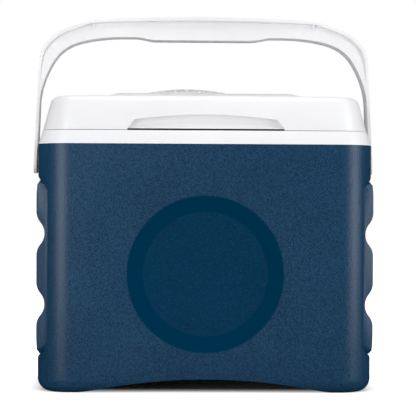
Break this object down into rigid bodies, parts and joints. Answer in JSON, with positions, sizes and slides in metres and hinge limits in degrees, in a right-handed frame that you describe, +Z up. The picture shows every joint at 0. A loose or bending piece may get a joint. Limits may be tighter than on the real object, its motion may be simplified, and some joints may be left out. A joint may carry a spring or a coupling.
{
  "type": "electric cool box",
  "caption": "Upright cool box with scalloped sides, a round dish in front, an arched base, a hinged lid with a fan guard and a swinging carry handle.",
  "frame": {"origin": "middle of the box on the floor, under its feet", "axes": "+Z up, -Y towards the front with the dish and finger scoop, +X to the right seen from the front"},
  "size_m": [0.4208, 0.244, 0.4572],
  "materials": {
    "blue_shell": "fine stippled moulding",
    "white_plastic": "satin moulding",
    "liner": "smooth moulding",
    "black_plastic": "moulded",
    "foam": "poured rigid foam",
    "steel": "zinc plated",
    "motor_can": "drawn can",
    "bush": "natural moulding",
    "gasket": "soft extrusion",
    "aluminium": "extruded",
    "ceramic": "sintered plate",
    "contacts": "plain",
    "red_wire": "soft sleeve",
    "black_wire": "soft sleeve"
  },
  "bodies": {
    "cabinet": {"outer_shell": "blue_shell", "insulation_foam": "foam", "inner_liner": "liner", "rim_frame": "white_plastic", "hinge_pin_left": "steel", "hinge_pin_right": "steel", "pivot_bush_left": "bush", "pivot_bush_right": "bush"},
    "lid": {"lid_cover": "white_plastic", "lid_inner_panel": "liner", "lid_foam": "foam", "lid_gasket": "gasket", "panel_screws": "steel", "vent_grille": "white_plastic", "fan_shroud": "black_plastic", "hot_heatsink": "aluminium", "peltier_module": "ceramic", "cold_block": "aluminium", "cold_heatsink": "aluminium", "clamp_screws": "steel", "fan_motor": "motor_can", "motor_bracket": "steel", "cold_grille": "liner", "grille_screws": "steel", "power_inlet": "black_plastic", "inlet_contacts": "contacts", "lead_red": "red_wire", "lead_black": "black_wire"},
    "fan": {"motor_shaft": "steel", "hot_impeller": "black_plastic", "cold_impeller": "black_plastic"},
    "handle": {"handle": "white_plastic"}
  },
  "joints": [
    {"name": "lid_hinge", "type": "hinge", "parent": "cabinet", "child": "lid", "pos_m": [0, 0.116, 0.309], "axis": [-1, 0, 0], "range_deg": [0, 16]},
    {"name": "handle_swing", "type": "hinge", "parent": "cabinet", "child": "handle", "pos_m": [0, 0, 0.2745], "axis": [1, 0, 0], "range_deg": [-90, 90]},
    {"name": "fan_spin", "type": "hinge", "parent": "lid", "child": "fan", "pos_m": [-0.021, 0, 0.33], "axis": [0, 0, 1], "continuous": true}
  ]
}
